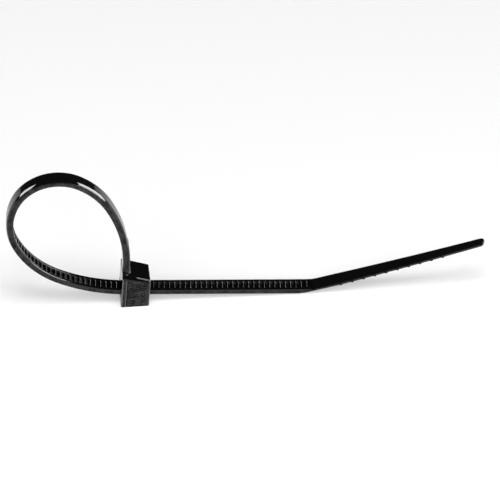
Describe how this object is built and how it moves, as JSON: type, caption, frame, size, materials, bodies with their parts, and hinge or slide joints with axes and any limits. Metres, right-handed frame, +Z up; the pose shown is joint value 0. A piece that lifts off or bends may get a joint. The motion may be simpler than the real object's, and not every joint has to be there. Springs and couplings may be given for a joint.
{
  "type": "cable tie",
  "caption": "Small black self-locking strap tie with ratchet teeth, closed into an open loop through its own slotted head, with a thin tapered tail.",
  "frame": {"origin": "centre of the head's flat base, on the surface the tie lies on", "axes": "+X along the tie from the head to the tip of the tail, +Y across the strap's width, +Z up"},
  "size_m": [0.071, 0.0046, 0.0232],
  "materials": {
    "nylon": "moulded black nylon, glossy on the broad faces and satin on the edges"
  },
  "bodies": {
    "root": {"cable_tie": "nylon"}
  },
  "joints": []
}
